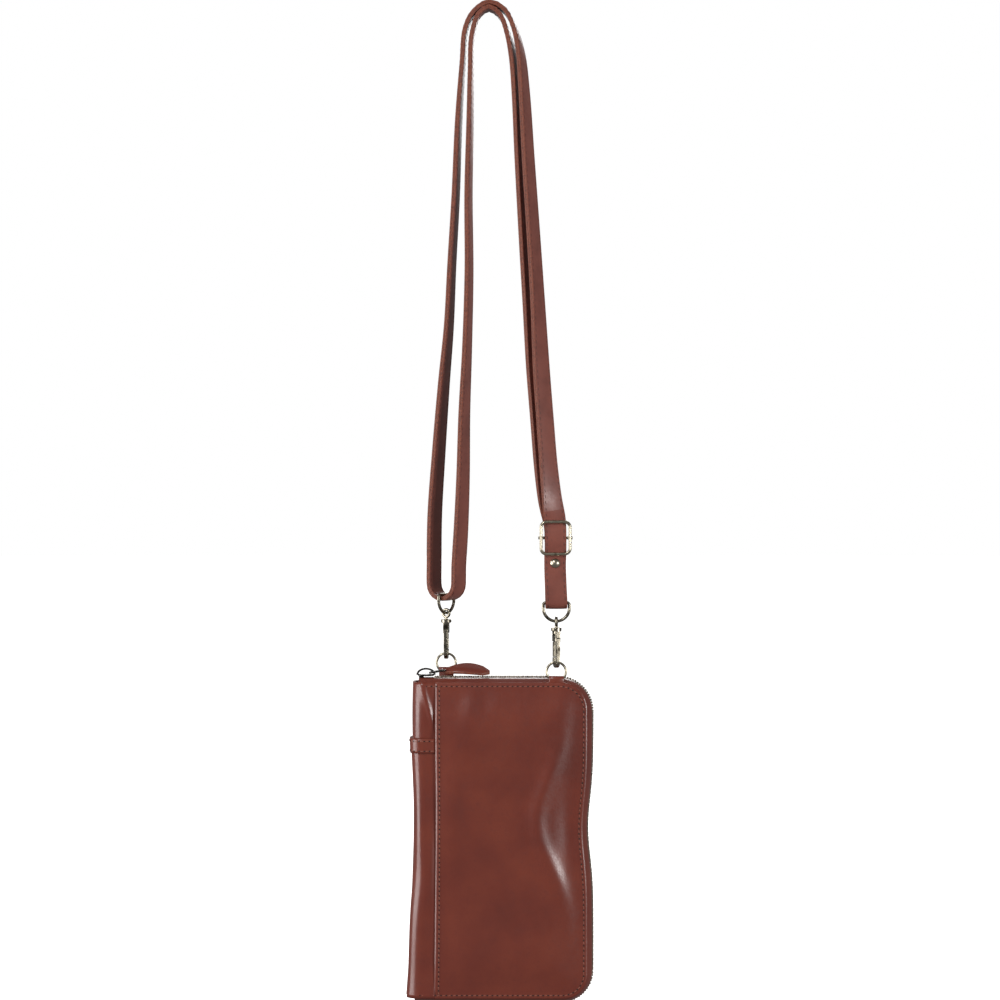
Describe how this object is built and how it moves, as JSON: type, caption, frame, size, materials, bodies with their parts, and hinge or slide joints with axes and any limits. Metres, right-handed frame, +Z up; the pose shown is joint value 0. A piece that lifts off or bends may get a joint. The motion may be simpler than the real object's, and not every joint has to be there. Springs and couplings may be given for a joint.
{
  "type": "crossbody purse",
  "caption": "Slim zip-round crossbody phone purse of brown waxed leather, hanging by a doubled adjustable strap on two swivel snap hooks.",
  "frame": {"origin": "the hang point: underside of the strap's arch, where it rests on a peg", "axes": "+Z up, +X to the right as the front cover faces the viewer, +Y to the back"},
  "size_m": [0.1056, 0.0359, 0.5777],
  "materials": {
    "purse_leather": "waxed, semi-gloss",
    "trim_leather": "waxed, semi-gloss",
    "strap_leather": "waxed, satin",
    "lining_fabric": "twill",
    "zip_tape": "woven tape",
    "zip_metal": "aged",
    "dark_metal": "gunmetal plated",
    "antique_brass": "antique brass plated"
  },
  "bodies": {
    "strap": {"shoulder_strap": "strap_leather", "buckle_frame": "antique_brass", "buckle_bar": "antique_brass", "strap_rivet": "antique_brass"},
    "right_d_ring": {"right_d_ring": "antique_brass"},
    "right_eye": {"right_swivel_eye": "antique_brass"},
    "right_hook": {"right_hook": "antique_brass", "right_gate_pin": "antique_brass", "right_gate_spring": "antique_brass"},
    "right_gate": {"right_hook_gate": "antique_brass"},
    "right_o_ring": {"right_o_ring": "antique_brass"},
    "left_d_ring": {"left_d_ring": "antique_brass"},
    "left_eye": {"left_swivel_eye": "antique_brass"},
    "left_hook": {"left_hook": "antique_brass", "left_gate_pin": "antique_brass", "left_gate_spring": "antique_brass"},
    "left_gate": {"left_hook_gate": "antique_brass"},
    "left_o_ring": {"left_o_ring": "antique_brass"},
    "purse_front": {"front_cover": "purse_leather", "front_lining": "lining_fabric", "front_gusset": "purse_leather", "front_zip_tape": "zip_tape", "front_zip_teeth": "zip_metal", "spine": "purse_leather", "spine_lining": "lining_fabric", "top_spine_cap": "purse_leather", "bottom_spine_cap": "purse_leather", "spine_wrap": "purse_leather", "spine_wrap_hem": "trim_leather", "card_slot_1": "lining_fabric", "card_slot_2": "lining_fabric", "card_slot_3": "lining_fabric", "card_slot_4": "lining_fabric", "right_ring_tab": "trim_leather", "left_ring_tab": "trim_leather"},
    "purse_back": {"back_cover": "purse_leather", "back_lining": "lining_fabric", "back_gusset": "purse_leather", "back_zip_tape": "zip_tape", "back_zip_teeth": "zip_metal", "phone_pocket": "purse_leather", "phone_pocket_hem": "trim_leather", "note_pocket": "lining_fabric"},
    "coin_pocket": {"coin_pocket_front": "lining_fabric", "coin_pocket_back": "lining_fabric", "coin_pocket_seam": "lining_fabric", "coin_zip_tape": "zip_tape", "coin_zip_teeth": "zip_metal"},
    "coin_slider": {"coin_zip_slider": "dark_metal"},
    "coin_pull": {"coin_zip_pull": "dark_metal"},
    "zip_slider": {"zip_slider": "dark_metal"},
    "pull_link": {"pull_link": "dark_metal"},
    "pull_tab": {"pull_tab": "trim_leather"}
  },
  "joints": [
    {"name": "right_d_ring_swing", "type": "hinge", "parent": "strap", "child": "right_d_ring", "pos_m": [0.0386, -0.01, -0.3416], "axis": [0.9542, -0.293, -0.0601], "range_deg": [-20, 20], "deforming": ["shoulder_strap"]},
    {"name": "right_eye_swing", "type": "hinge", "parent": "right_d_ring", "child": "right_eye", "pos_m": [0.0386, -0.01, -0.3523], "axis": [0.9542, -0.293, -0.0601], "range_deg": [-20, 20]},
    {"name": "right_hook_swivel", "type": "hinge", "parent": "right_eye", "child": "right_hook", "pos_m": [0.0386, -0.01, -0.358], "axis": [0, 0, 1], "range_deg": [-32, 2]},
    {"name": "right_gate_open", "type": "hinge", "parent": "right_hook", "child": "right_gate", "pos_m": [0.03798, -0.0081, -0.3627], "axis": [0.9511, 0.309, 0], "range_deg": [-20, 0], "stiffness_Nm_per_rad": 0.002, "springref_deg": 17.19},
    {"name": "right_o_ring_swing", "type": "hinge", "parent": "right_eye", "child": "right_o_ring", "pos_m": [0.0386, -0.01, -0.3758], "axis": [0.9542, -0.293, -0.0601], "range_deg": [-20, 20]},
    {"name": "left_d_ring_swing", "type": "hinge", "parent": "strap", "child": "left_d_ring", "pos_m": [-0.0249, 0.0095, -0.3376], "axis": [0.9542, -0.293, -0.0601], "range_deg": [-20, 20]},
    {"name": "left_eye_swing", "type": "hinge", "parent": "left_d_ring", "child": "left_eye", "pos_m": [-0.0249, 0.0095, -0.3483], "axis": [0.9542, -0.293, -0.0601], "range_deg": [-20, 20]},
    {"name": "left_hook_swivel", "type": "hinge", "parent": "left_eye", "child": "left_hook", "pos_m": [-0.0249, 0.0095, -0.354], "axis": [0, 0, 1], "range_deg": [-14, 20]},
    {"name": "left_gate_open", "type": "hinge", "parent": "left_hook", "child": "left_gate", "pos_m": [-0.02469, 0.01149, -0.3587], "axis": [0.9945, -0.1045, 0], "range_deg": [-20, 0], "stiffness_Nm_per_rad": 0.002, "springref_deg": 17.19},
    {"name": "left_o_ring_swing", "type": "hinge", "parent": "left_eye", "child": "left_o_ring", "pos_m": [-0.0249, 0.0095, -0.3718], "axis": [0.9542, -0.293, -0.0601], "range_deg": [-20, 20]},
    {"name": "purse_swing", "type": "hinge", "parent": "right_o_ring", "child": "purse_front", "pos_m": [0.0386, -0.01, -0.3868], "axis": [0.9542, -0.293, -0.0601], "range_deg": [-20, 20], "deforming": ["right_ring_tab", "left_ring_tab"]},
    {"name": "back_cover_open", "type": "hinge", "parent": "purse_front", "child": "purse_back", "pos_m": [-0.0294, 0.0116, -0.4785], "axis": [0, 0, 1], "range_deg": [0, 40], "deforming": ["back_gusset", "back_zip_tape", "back_zip_teeth", "front_zip_teeth"]},
    {"name": "coin_pocket_turn", "type": "hinge", "parent": "purse_front", "child": "coin_pocket", "pos_m": [-0.0394, 0, -0.4785], "axis": [0, 0, 1], "range_deg": [0, 20]},
    {"name": "zip_slide", "type": "slide", "parent": "purse_front", "child": "zip_slider", "axis": [1, 0, 0], "range_m": [0, 0.072]},
    {"name": "pull_link_lift", "type": "hinge", "parent": "zip_slider", "child": "pull_link", "pos_m": [-0.0342, 0, -0.3824], "axis": [0, 1, 0], "range_deg": [-95, 0]},
    {"name": "pull_tab_lift", "type": "hinge", "parent": "pull_link", "child": "pull_tab", "pos_m": [-0.0252, 0, -0.381], "axis": [0, 1, 0], "range_deg": [-60, 0]},
    {"name": "coin_zip_slide", "type": "slide", "parent": "coin_pocket", "child": "coin_slider", "axis": [1, 0, 0], "range_m": [0, 0.058]},
    {"name": "coin_pull_swing", "type": "hinge", "parent": "coin_slider", "child": "coin_pull", "pos_m": [-0.0234, -0.0039, -0.4124], "axis": [0, 1, 0], "range_deg": [-15, 15]}
  ],
  "couplings": [
    {"joint": "left_d_ring_swing", "follows": "right_d_ring_swing", "ratio": 1},
    {"joint": "left_eye_swing", "follows": "right_eye_swing", "ratio": 1},
    {"joint": "left_o_ring_swing", "follows": "right_o_ring_swing", "ratio": 1},
    {"joint": "coin_pocket_turn", "follows": "back_cover_open", "ratio": 0.5}
  ]
}
